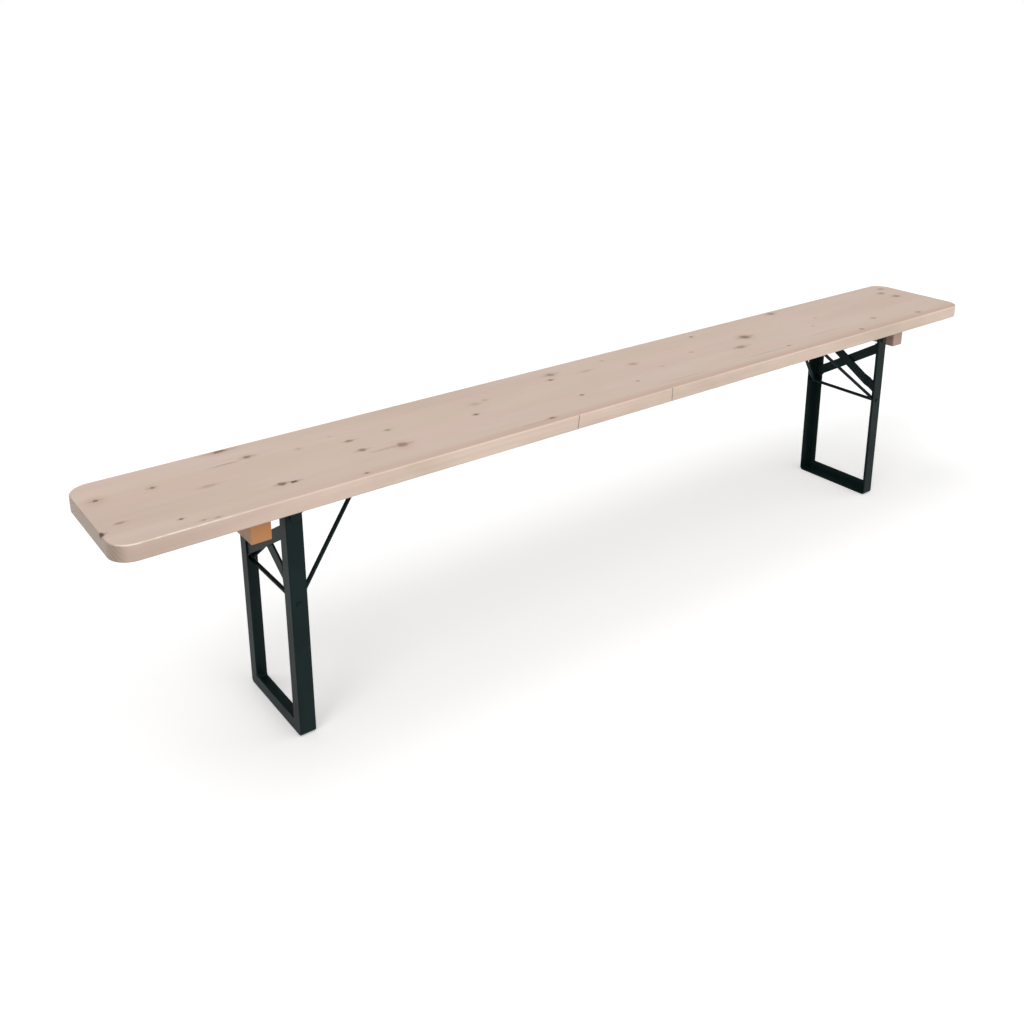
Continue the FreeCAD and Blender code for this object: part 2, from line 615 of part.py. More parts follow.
def make_brace_bow(end, sign):
    """The bent round bar between the axle and the catch, coped where it is welded on."""
    bow = new_body("brace_bow_" + end, outward(sign, FRAME_PLACE), "0", AXLE_HEIGHT)
    rise = f"asin({BRACE_RISE} / brace_length)"
    bow.Placement.Rotation = FreeCAD.Rotation(FreeCAD.Vector(0, -1, 0), 45)
    bind(bow, "Placement.Rotation.Angle", rise if sign < 0 else f"180 deg - {rise}")
    path = sketch_on(bow, "XY_Plane")
    draw_bow_path(path)
    section = draw(bow, "XZ_Plane", "0", None, [("brace_length", "0", "wire_radius")])
    doc.recompute()
    pipe = bow.newObject("PartDesign::AdditivePipe", bow.Label + "_pipe")
    pipe.Profile = section
    pipe.Spine = (path, ["Edge1", "Edge2", "Edge3"])
    doc.recompute()
    other_half = bow.newObject("PartDesign::Mirrored", bow.Label + "_mirrored")
    other_half.Originals = [pipe]
    mirror = next(item for item in bow.Origin.OriginFeatures if item.Role == "XZ_Plane")
    other_half.MirrorPlane = (mirror, [""])
    bow.Tip = other_half
    doc.recompute()
    cut(bow, "XZ_Plane", "0", f"2 * {LEG_OUTSIDE}", circles=[("0", "0", "wire_radius")])
    return bow


def make_catch_plate(end, sign):
    """The plate under the plank that carries the hook and the spring tongue."""
    catch = new_body("catch_plate_" + end, outward(sign, CATCH_PLACE), "0", PLATE_UNDER)
    middle = "(catch_thick / 2)"
    pad(catch, "XY_Plane", middle, "catch_thick", rectangle(
        outward(sign, "catch_outer"), "0 - catch_half_width",
        outward(-sign, "catch_inner"), "catch_half_width"))
    round_edges(catch, "catch_corner",
                lambda point: 0.1 < point.z < number_of("catch_thick") - 0.1)
    holes = [(outward(sign, span), depth, "screw_radius + screw_play")
             for span, depth in catch_screws()]
    holes.append((outward(-sign, "tongue_pivot"), "0", "tongue_rivet"))
    cut(catch, "XY_Plane", middle, "4 * catch_thick", circles=holes)
    return catch


def make_catch_hook(end, sign):
    """The strap that holds the bow's crosspiece, with its foot welded under the catch plate."""
    hook = new_body("catch_hook_" + end, outward(sign, CATCH_PLACE), "0", CROSSPIECE_HEIGHT)
    top = "(wire_radius + catch_gap)"
    inside = "(wire_radius + hook_gap)"
    outside = f"({inside} + hook_thick)"
    strap = rectangle(outward(sign, inside), "0 - hook_half_width",
                      outward(sign, outside), "hook_half_width")
    pad(hook, "XY_Plane", f"{top} / 2", top, strap)
    pad(hook, "XY_Plane", f"{top} - hook_thick / 2", "hook_thick", rectangle(
        outward(sign, inside), "0 - hook_half_width",
        outward(sign, f"{outside} + hook_foot"), "hook_half_width"))
    curl = hook.newObject("PartDesign::Revolution", hook.Label + "_curl")
    section = draw(hook, "XY_Plane", "0", strap, ())
    curl.Profile = section
    curl.ReferenceAxis = (section, ["V_Axis"])
    curl.Reversed = sign < 0
    bind(curl, "Angle", "hook_wrap")
    doc.recompute()
    round_edges(hook, "hook_root", lambda point: near(point.z, f"{top} - hook_thick")
                and near(sign * point.x, outside))
    round_edges(hook, "hook_root + hook_thick",
                lambda point: near(point.z, top) and near(sign * point.x, inside))
    return hook


def make_catch_tongue(end, sign):
    """The spring tongue, whose tip keeps the crosspiece from sliding out of its hook."""
    tongue = new_body("catch_tongue_" + end, outward(sign, TONGUE_PLACE), "0", PLATE_UNDER)
    tip = "(tongue_pivot - tongue_tip)"
    flat_end = f"({tip} - tongue_slope)"
    upper = "(0 - tongue_gap)"
    lower = "(0 - tongue_gap - tongue_thick)"
    pad(tongue, "XZ_Plane", "0", "2 * tongue_half_width", [
        (outward(-sign, "tongue_tail"), upper),
        (outward(sign, flat_end), upper),
        (outward(sign, tip), f"{upper} - tongue_dip"),
        (outward(sign, tip), f"{lower} - tongue_dip"),
        (outward(sign, flat_end), lower),
        (outward(-sign, "tongue_tail"), lower),
    ])
    round_edges(tongue, "tongue_corner", lambda point: near(abs(point.y), "tongue_half_width")
                and (near(sign * point.x, tip) or near(-sign * point.x, "tongue_tail")))
    cut(tongue, "XY_Plane", "0", "4 * tongue_thick",
        circles=[("0", "0", "tongue_rivet + tongue_gap")])
    return tongue


def make_tongue_rivet(end, sign):
    """The rivet that carries the spring tongue under its catch plate."""
    rivet = new_body("tongue_rivet_" + end, outward(sign, TONGUE_PLACE), "0", PLATE_UNDER)
    seat = "(tongue_thick + 2 * tongue_gap)"
    pad(rivet, "XY_Plane", f"(catch_thick - {seat}) / 2", f"catch_thick + {seat}",
        circles=[("0", "0", "tongue_rivet")])
    pad(rivet, "XY_Plane", f"0 - {seat} - tongue_rivet_rise / 2", "tongue_rivet_rise",
        circles=[("0", "0", "tongue_rivet_head")])
    crown = f"0 - {seat} - tongue_rivet_rise"
    round_edges(rivet, "tongue_rivet_rise * head_rounding", lambda point: near(point.z, crown))
    return rivet


def make_bench():
    """Every sub-part of the bench, each with its own label."""
    subparts = [make_plank()]
    for end, sign in ENDS:
        subparts.append(make_batten(end, sign))
        subparts.append(make_batten_screws(end, sign))
        for side, across in SIDES:
            subparts.append(make_bracket(end, sign, side, across))
        subparts.append(make_pan_screws("hinge_screws_" + end, "bracket_thick",
                                        pan_screws_of_brackets(sign)))
        subparts.append(make_pivot_rivets(end, sign))
        subparts.append(make_pivot_washers(end, sign))
        subparts.append(make_leg_hoop(end, sign))
        subparts.append(make_straight_bar(end, sign))
        subparts.append(make_joggled_bar(end, sign))
        subparts.append(make_brace_axle(end, sign))
        subparts.append(make_brace_bow(end, sign))
        subparts.append(make_catch_plate(end, sign))
        subparts.append(make_catch_hook(end, sign))
        subparts.append(make_pan_screws("catch_screws_" + end, "catch_thick",
                                        pan_screws_of_catch(sign)))
        subparts.append(make_catch_tongue(end, sign))
        subparts.append(make_tongue_rivet(end, sign))
    return subparts


def check_document():
    """Stop at the first object that could not be worked out."""
    for thing in doc.Objects:
        if {"Invalid", "Error"} & set(thing.State):
            raise RuntimeError(f"{thing.Label} has failed: {thing.State}")


def export(subparts):
    """Write each sub-part to its own file."""
    os.makedirs("parts", exist_ok=True)
    for subpart in subparts:
        shape = subpart.Shape
        if shape.isNull() or not shape.isValid():
            raise RuntimeError(f"{subpart.Label} has no valid shape")
        shape.exportStep(f"parts/{subpart.Label}.step")
        print(f"{subpart.Label}: {len(shape.Solids)} solid(s), {shape.Volume:.0f} mm3")


subparts = make_bench()
doc.recompute()
check_document()
export(subparts)
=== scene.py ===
"""Finishes, welds, screws and stage of the folding bench, laid out as a Blender add-on.

Metres, +Z up, X along the plank and the viewer on the -Y side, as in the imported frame.
"""

import math

import bpy
from bpy.props import FloatProperty, FloatVectorProperty, IntProperty, PointerProperty
from bpy.types import Operator, Panel, PropertyGroup
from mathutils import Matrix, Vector


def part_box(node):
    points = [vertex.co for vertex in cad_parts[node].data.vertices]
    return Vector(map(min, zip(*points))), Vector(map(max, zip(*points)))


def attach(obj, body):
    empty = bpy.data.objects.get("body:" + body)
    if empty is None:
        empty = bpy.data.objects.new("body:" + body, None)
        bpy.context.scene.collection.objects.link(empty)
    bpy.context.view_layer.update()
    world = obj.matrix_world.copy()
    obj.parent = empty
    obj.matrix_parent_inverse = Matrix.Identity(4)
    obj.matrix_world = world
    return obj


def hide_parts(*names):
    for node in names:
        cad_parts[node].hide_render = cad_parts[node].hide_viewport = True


bl_info = {
    "name": "Folding Bench",
    "version": (1, 0, 0),
    "blender": (4, 5, 0),
    "location": "3D View > Sidebar > Bench",
    "description": "Dresses the folding bench with wood, powder-coated steel, welds and screws",
    "category": "Object",
}

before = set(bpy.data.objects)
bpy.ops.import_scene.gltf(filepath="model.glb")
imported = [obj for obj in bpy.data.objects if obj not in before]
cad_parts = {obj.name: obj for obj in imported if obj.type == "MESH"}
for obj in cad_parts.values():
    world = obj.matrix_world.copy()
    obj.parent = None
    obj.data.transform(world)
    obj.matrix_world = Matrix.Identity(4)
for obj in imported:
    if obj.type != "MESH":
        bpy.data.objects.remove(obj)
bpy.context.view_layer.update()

MM = 0.001
ENDS = (("left", -1), ("right", 1))
PLANK_LOW, PLANK_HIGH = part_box("seat_plank")
PLANK_UNDER = PLANK_LOW.z
FRONT_EDGE = PLANK_LOW.y
LEG_FRAME_PLACE = 803.4 * MM
AXLE_HEIGHT = 259.5 * MM
CROSSING_HEIGHT = 341 * MM
CROSS_SLOPE = 64.5 / 104.1
PITH_DEPTH = 90 * MM
FLANGE_FACE = 11.6 * MM
CROSS_EDGE = 11.8 * MM
CROSS_SEAM = (80.5, 91.5)
MITRE_INNER = (79.6 * MM, 24.6 * MM)
MITRE_OUTER = (100.4 * MM, 3.8 * MM)
BRACE_BAR = 4 * MM
BRACE_FOOT = 96.0 * MM
BRACE_TOP = 18.0 * MM
COLLAR_RISE = 4.2 * MM
COLLAR_RING = 4.1 * MM
COLLAR_THICK = 1.5 * MM
HOOK_SEAM = (9 * MM, 0.8 * MM)
HOOK_SEAM_DROP = 0.6 * MM
SCREW_CORNERS = 32
SCREW_TURN = 1.9
SMOOTH_ANGLE = math.radians(40)
FLOOR_SIZE = 400.0
FLOOR_HEIGHT = -0.2 * MM

# Wood screws on the plank's underside, in mm: across the plank, or along it from the leg frame
BATTEN_SCREWS = (-75, 0, 75)
HINGE_SCREWS = ((18, 73.3), (-26, 73.3), (0, 88.3))
CATCH_SCREWS = (-11, 11)
CATCH_SCREW_EDGE = 4.2 * MM

# Lamps: name, strength, and in degrees how wide each shines and how it is turned
LAMPS = (
    ("top", 0.78, 40, (-14, -13, 0)),
    ("front", 1.60, 110, (57, 0, 12)),
    ("side", 0.55, 24, (38, 0, -63)),
)
LAMP_COLOUR = (1.0, 0.993, 0.983)
SKY_COLOUR = (0.97, 0.985, 1.0, 1.0)
SKY_STRENGTH = 0.28
WHITE = (1.0, 1.0, 1.0, 1.0)

# Knots of the plank's upper face in rows along it, in mm: X, Y, half length, half width,
# darkness, flare
KNOT_ROWS = (
    (
        (-1071, 52, 5, 4.5, 0.75, 4.6),
        (-982, 45, 4.5, 5, 0.65, 2.6),
        (-837, 121, 14, 6, 0.70, 2.8),
        (-719, 47, 5, 4, 0.22, 2.0),
        (-649, 64, 4, 3, 0.15, 1.6),
        (-546, 28, 6, 5, 0.40, 1.9),
        (-339, 41, 10, 8, 0.18, 2.0),
        (-311, 47, 6, 5, 0.20, 2.2),
        (-112, 86, 10, 8, 0.48, 2.2),
        (-35, 60, 14, 5, 0.18, 1.6),
        (37, 90, 4, 4, 0.25, 1.8),
        (324, 96, 4, 4.5, 0.70, 1.6),
        (425, 19, 13, 12, 0.62, 2.2),
        (628, 112, 10, 8, 0.50, 2.0),
        (688, 21, 5, 4, 0.25, 1.6),
        (1024, 64, 9, 7, 0.52, 1.9),
        (1062, 92, 11, 7, 0.34, 1.9),
    ),
    (
        (-906, -4, 14, 6, 0.22, 1.6),
        (-806, 69, 8, 6, 0.62, 2.0),
        (-629, 25, 8, 5, 0.55, 1.5),
        (-370, -7, 5, 4.5, 0.72, 1.8),
        (-132, 61, 6, 5, 0.65, 1.7),
        (78, 33, 10, 8, 0.30, 1.8),
        (120, -16, 5, 4, 0.18, 1.8),
        (241, 15, 4, 4, 0.30, 2.0),
        (360, -28, 15, 8, 0.45, 1.8),
        (628, -21, 4, 4, 0.25, 1.6),
        (1034, 23, 10, 9, 0.52, 1.9),
    ),
    (
        (-1098, -70, 4, 7, 0.95, 1.4),
        (-1064, -49, 8, 4, 0.40, 1.8),
        (-984, -93, 3.5, 3.5, 0.75, 1.8),
        (-805, -70, 8, 6.5, 0.72, 1.4),
        (-786, -74, 8, 4, 0.95, 1.5),
        (-630, -26, 8, 6, 0.58, 1.7),
        (-560, -48, 11, 10, 0.55, 2.4),
        (-264, -110, 7, 4.5, 0.62, 2.2),
        (-137, -48, 4.5, 4, 0.65, 1.7),
        (11, -55, 3.5, 3, 0.65, 1.7),
        (457, -88, 4.5, 4, 0.50, 1.8),
        (703, -109, 5.5, 5, 0.55, 1.8),
        (805, -68, 7, 6, 0.42, 1.8),
        (944, -104, 7, 6, 0.45, 1.8),
    ),
    (
        (-957, -117, 5, 3, 0.32, 1.8),
        (-936, -121, 5, 3, 0.30, 1.8),
        (-848, 62, 30, 2.6, 0.30, 1.2),
        (-671, -117, 4, 3, 0.62, 2.0),
        (-592, -46, 30, 5, 0.16, 1.4),
        (-300, -112, 40, 2.5, 0.12, 1.3),
        (100, -96, 70, 3, 0.10, 1.3),
        (380, -90, 60, 3, 0.12, 1.3),
        (620, -70, 50, 3, 0.10, 1.3),
    ),
)

# Glued joints that show on the front edge, in mm: X and how far each one leans
EDGE_JOINTS = ((-215, 4.0), (39, 1.0))


def straight(red, green, blue):
    """A colour read as it shows on a screen, 0 to 255, as Blender's linear colour."""
    def line(part):
        part /= 255
        return part / 12.92 if part <= 0.04045 else ((part + 0.055) / 1.055) ** 2.4
    return (line(red), line(green), line(blue))


# Sizes and colours that a user may change

class PlankLook(PropertyGroup):
    """Colours and pattern of the seat plank."""
    pale: FloatVectorProperty(
        name="Pale wood", description="Colour of the early wood", subtype="COLOR", size=3,
        min=0, max=1, default=straight(220, 200, 187))
    dark: FloatVectorProperty(
        name="Dark wood", description="Colour of the late wood", subtype="COLOR", size=3,
        min=0, max=1, default=straight(198, 170, 154))
    # Edge wood: paler planed wood, made paler still as painted light on the front face.
    edge: FloatVectorProperty(
        name="Edge wood", description="Colour of the planed long edges", subtype="COLOR",
        size=3, min=0, max=1, default=straight(250, 226, 208))
    flush: FloatVectorProperty(
        name="Front board", description="Tint of the board along the front edge",
        subtype="COLOR", size=3, min=0, max=1, default=straight(202, 164, 148))
    pink: FloatVectorProperty(
        name="Pink patches", description="Colour of the rosy patches", subtype="COLOR", size=3,
        min=0, max=1, default=straight(222, 192, 182))
    straw: FloatVectorProperty(
        name="Straw patches", description="Colour of the yellow patches", subtype="COLOR",
        size=3, min=0, max=1, default=straight(212, 193, 170))
    # A painted highlight: the pale line of light on the upper front edge at the left end.
    arris_highlight: FloatVectorProperty(
        name="Arris", description="Colour of the rubbed upper edge at the left end",
        subtype="COLOR", size=3, min=0, max=1, default=straight(250, 243, 238))
    # Sawn ends: darker end grain, and also painted shade of the left end face, which gets little
    # light.
    ends: FloatVectorProperty(
        name="Sawn ends", description="Colour of the end grain", subtype="COLOR", size=3,
        min=0, max=1, default=straight(173, 152, 132))
    flare: FloatVectorProperty(
        name="Knot flare", description="Colour of the wood round a knot", subtype="COLOR",
        size=3, min=0, max=1, default=straight(196, 158, 128))
    core: FloatVectorProperty(
        name="Knot", description="Colour of a knot's heart", subtype="COLOR", size=3,
        min=0, max=1, default=straight(92, 72, 62))
    rings: FloatProperty(
        name="Rings per metre", description="Annual rings across the plank", min=20, max=600,
        default=210)
    grain: FloatProperty(
        name="Grain strength", description="How strongly the rings show", subtype="FACTOR",
        min=0, max=1, default=0.20)


class BattenLook(PropertyGroup):
    """Colours of the battens under the plank."""
    left: FloatVectorProperty(
        name="Left batten", description="Colour of the left batten's ends",
        subtype="COLOR", size=3, min=0, max=1, default=straight(224, 160, 108))
    sides: FloatVectorProperty(
        name="Left batten's sides", description="Colour of the left batten's long faces",
        subtype="COLOR", size=3, min=0, max=1, default=straight(206, 172, 148))
    right: FloatVectorProperty(
        name="Right batten", description="Colour of the batten at the right end",
        subtype="COLOR", size=3, min=0, max=1, default=straight(214, 186, 172))


class SteelLook(PropertyGroup):
    """Colours and surface of the steel parts."""
    coat: FloatVectorProperty(
        name="Powder coat", description="Colour of the powder coat", subtype="COLOR", size=3,
        min=0, max=1, default=straight(19, 37, 37))
    zinc: FloatVectorProperty(
        name="Zinc", description="Colour of screws and washers", subtype="COLOR", size=3,
        min=0, max=1, default=straight(186, 188, 186))
    spring: FloatVectorProperty(
        name="Spring steel", description="Colour of the catch tongues", subtype="COLOR",
        size=3, min=0, max=1, default=straight(112, 116, 122))
    roughness: FloatProperty(
        name="Coat roughness", description="Roughness of the powder coat", subtype="FACTOR",
        min=0, max=1, default=0.5)
    peel: FloatProperty(
        name="Orange peel", description="Height of the powder coat's texture",
        subtype="FACTOR", min=0, max=1, default=0.16)


class WeldSizes(PropertyGroup):
    """Sizes of the weld beads."""
    radius: FloatProperty(
        name="Bead radius", description="Half the width of a weld bead", unit="LENGTH",
        min=0.0005, max=0.004, default=1.7 * MM)
    pitch: FloatProperty(
        name="Ripple pitch", description="Distance from one ripple to the next",
        unit="LENGTH", min=0.0005, max=0.005, default=1.6 * MM)
    sides: IntProperty(
        name="Sides", description="Corners of a bead's cross-section", min=6, max=24,
        default=10)


class ScrewSizes(PropertyGroup):
    """Sizes of the screw heads' recesses."""
    recess: FloatProperty(
        name="Recess radius", description="Reach of the cross recess", unit="LENGTH",
        min=0.0005, max=0.004, default=2.3 * MM)
    slot: FloatProperty(
        name="Slot width", description="Width of each slot of the recess", unit="LENGTH",
        min=0.0002, max=0.003, default=1.1 * MM)
    depth: FloatProperty(
        name="Recess depth", description="Depth of the cross recess", unit="LENGTH",
        min=0.0002, max=0.003, default=1.5 * MM)


class StageLook(PropertyGroup):
    """Floor, lights and camera."""
    floor: FloatVectorProperty(
        name="Floor", description="Colour of the floor as it lights the bench from below",
        subtype="COLOR", size=3, min=0, max=1, default=(0.50, 0.50, 0.505))
    backdrop: FloatVectorProperty(
        name="Backdrop", description="Colour of the floor and background to the viewer",
        subtype="COLOR", size=3, min=0, max=1, default=(0.92, 0.92, 0.92))
    glow: FloatProperty(
        name="Floor glow", description="How much the floor glows to the viewer", min=0, max=1,
        default=0.27)
    place: FloatVectorProperty(
        name="Camera place", description="Where the camera stands", subtype="XYZ",
        unit="LENGTH", size=3, default=(-1.47318, -1.61322, 1.23916))
    turn: FloatVectorProperty(
        name="Camera turn", description="The camera's rotation", subtype="EULER", size=3,
        default=(1.2711, 0.0, -0.6479))
    lens: FloatProperty(
        name="Lens", description="Focal length on a 36 mm sensor, in mm", min=10, max=200,
        default=37.909)
    shift_x: FloatProperty(
        name="Shift X", description="Sideways shift of the lens", default=-0.01015)
    shift_y: FloatProperty(
        name="Shift Y", description="Upward shift of the lens", default=-0.1756)


# Node maths

class Number:
    """A socket that carries a number, so that Python's operators work on it."""

    def __init__(self, finish, socket):
        self.finish = finish
        self.socket = socket

    def __add__(self, other):
        return self.finish.math("ADD", self, other)

    __radd__ = __add__

    def __sub__(self, other):
        return self.finish.math("SUBTRACT", self, other)

    def __rsub__(self, other):
        return self.finish.math("SUBTRACT", other, self)

    def __mul__(self, other):
        return self.finish.math("MULTIPLY", self, other)

    __rmul__ = __mul__

    def __truediv__(self, other):
        return self.finish.math("DIVIDE", self, other)

    def __abs__(self):
        return self.finish.math("ABSOLUTE", self)


class Finish:
    """A material, and the nodes that draw its pattern on Object coordinates."""

    def __init__(self, name):
        self.material = bpy.data.materials.new(name)
        self.material.use_nodes = True
        self.tree = self.material.node_tree
        self.tree.nodes.clear()
        self.place = self.node("ShaderNodeTexCoord").outputs["Object"]
        self.x, self.y, self.z = self.parts(self.place)

    def node(self, kind, settings=None, inputs=None):
        """Add a node: its settings first, then the values or links of its sockets."""
        node = self.tree.nodes.new(kind)
        settings = dict(settings or {})
        stops = settings.pop("stops", None)
        for name, value in settings.items():
            setattr(node, name, value)
        if stops:
            elements = node.color_ramp.elements
            while len(elements) < len(stops):
                elements.new(1.0)
            for element, (position, colour) in zip(elements, stops):
                element.position = position
                element.color = (*colour, 1.0)
        for name, value in (inputs or {}).items():
            socket = node.inputs[name]
            source = getattr(value, "socket", value)
            if isinstance(source, bpy.types.NodeSocket):
                self.tree.links.new(source, socket)
            elif socket.type == "RGBA" and len(source) == 3:
                socket.default_value = (*source, 1.0)
            else:
                socket.default_value = source
        return node

    def parts(self, vector):
        """The three numbers of a vector."""
        node = self.node("ShaderNodeSeparateXYZ", inputs={0: vector})
        return [Number(self, socket) for socket in node.outputs]

    def facing(self):
        """The surface's direction along X, Y and Z."""
        return self.parts(self.node("ShaderNodeTexCoord").outputs["Normal"])

    def math(self, operation, first, second=0.0):
        """A sum, product or other maths on one value or two."""
        node = self.node("ShaderNodeMath", {"operation": operation}, {0: first, 1: second})
        return Number(self, node.outputs[0])

    def fade(self, value, start, end, low=0.0, high=1.0):
        """A smooth change from low to high as the value goes from start to end."""
        node = self.node(
            "ShaderNodeMapRange", {"interpolation_type": "SMOOTHSTEP"},
            {0: value, 1: start, 2: end, 3: low, 4: high})
        return Number(self, node.outputs[0])

    def stretched(self, scale, offset=(0.0, 0.0, 0.0), vector=None):
        """Coordinates times a scale, plus an offset."""
        node = self.node(
            "ShaderNodeVectorMath", {"operation": "MULTIPLY_ADD"},
            {0: vector or self.place, 1: scale, 2: offset})
        return node.outputs[0]

    def distance(self, centre, radii):
        """How many radii away from a centre a point lies; a radius of 0 leaves its axis out."""
        scale = [1 / radius if radius else 0.0 for radius in radii]
        offset = [-middle * factor for middle, factor in zip(centre, scale)]
        return self.length(self.stretched(scale, offset))

    def length(self, vector):
        """The length of a vector."""
        node = self.node("ShaderNodeVectorMath", {"operation": "LENGTH"}, {0: vector})
        return Number(self, node.outputs["Value"])

    def vector(self, x, y, z):
        """A vector from three numbers."""
        return self.node("ShaderNodeCombineXYZ", inputs={0: x, 1: y, 2: z}).outputs[0]

    def noise(self, vector, scale, detail=3.0, roughness=0.5, distortion=0.0):
        """Soft random values round 0.5."""
        node = self.node("ShaderNodeTexNoise", inputs={
            "Vector": vector, "Scale": scale, "Detail": detail, "Roughness": roughness,
            "Distortion": distortion})
        return Number(self, node.outputs[0])

    def blend(self, factor, first, second):
        """A colour between two colours."""
        node = self.node(
            "ShaderNodeMix", {"data_type": "RGBA", "clamp_factor": True},
            {0: factor, 6: first, 7: second})
        return node.outputs[2]

    def bump(self, height, distance, strength):
        """A normal that follows a height."""
        inputs = {"Height": height, "Distance": distance, "Strength": strength}
        return self.node("ShaderNodeBump", inputs=inputs).outputs[0]

    def shade(self, **inputs):
        """The closing shader; an input's name has _ in place of a space."""
        inputs = {name.replace("_", " "): value for name, value in inputs.items()}
        shader = self.node("ShaderNodeBsdfPrincipled", inputs=inputs)
        self.node("ShaderNodeOutputMaterial", inputs={0: shader.outputs[0]})
        return self.material


def dress(material, *names):
    """Give CAD nodes their finish, by their material slots."""
    for name in names:
        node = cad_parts[name]
        if not node.material_slots:
            node.data.materials.append(material)
        for slot in node.material_slots:
            slot.material = material


# Wood

def wood_rings(finish, across, rings):
    """Late wood lines, 0 to 1: arcs about a pith below the board, drawn out along X."""
    height = finish.z - (PLANK_UNDER - PITH_DEPTH)
    radius = finish.math("SQRT", across * across + height * height)
    drift = finish.noise(finish.vector(finish.x * 1.1, radius * 9.0, 0.0), 1.0, 2.0)
    wavy = radius + drift * 0.030
    lines = finish.noise(finish.vector(finish.x * 0.010, wavy, 0.0), rings, 2.0, 0.55)
    fine = finish.noise(
        finish.vector(finish.x * 0.004, wavy, across * 0.2), rings * 8.0, 2.0, 0.6)
    return finish.fade(lines, 0.40, 0.66) * 0.75 + finish.fade(fine, 0.35, 0.75) * 0.25


def end_rings(finish, rings):
    """Arcs of the annual rings on a board's sawn end."""
    wobble = finish.noise(finish.place, 22.0, 2.0)
    radius = finish.distance((0.0, 0.03, PLANK_UNDER - PITH_DEPTH), (0.0, 1.0, 1.0))
    wave = finish.math("SINE", (radius + wobble * 0.006) * (rings * 5.0))
    return finish.fade(wave, -0.3, 0.95)


def knot_row(finish, knots):
    """One row of knots: how far off the nearest one lies, in its own radii and along the grain,
    its sideways gap, darkness and flare.

    Each knot owns a stretch of the plank. Two ramps of plain steps hold its numbers, each as a
    share of the most it can be.
    """
    length = PLANK_HIGH.x - PLANK_LOW.x
    width = PLANK_HIGH.y - PLANK_LOW.y
    most_size = 100 * MM
    most_reach = 10
    edges = [0.0] + [
        ((before[0] + after[0]) / 2 * MM - PLANK_LOW.x) / length
        for before, after in zip(knots, knots[1:])]
    along = (finish.x - PLANK_LOW.x) / length
    places = [
        (edge, ((x * MM - PLANK_LOW.x) / length, (y * MM - PLANK_LOW.y) / width, darkness))
        for edge, (x, y, half_long, half_wide, darkness, reach) in zip(edges, knots)]
    sizes = [
        (edge, (half_long * MM / most_size, half_wide * MM / most_size, reach / most_reach))
        for edge, (x, y, half_long, half_wide, darkness, reach) in zip(edges, knots)]
    numbers = []
    for stops in (places, sizes):
        ramp = finish.node("ShaderNodeValToRGB", {"stops": stops}, {0: along})
        ramp.color_ramp.interpolation = "CONSTANT"
        parts = finish.node("ShaderNodeSeparateColor", inputs={0: ramp.outputs[0]})
        numbers += [Number(finish, parts.outputs[index]) for index in range(3)]
    x, y, darkness, half_long, half_wide, reach = numbers
    beside = finish.y - (y * width + PLANK_LOW.y)
    ahead = (along - x) * length / (half_long * most_size)
    aside = beside / (half_wide * most_size)
    away = finish.math("SQRT", ahead * ahead + aside * aside)
    tail = finish.math("SQRT", ahead * ahead * 0.10 + aside * aside * 3.0)
    return away, tail, beside, darkness, reach * most_reach


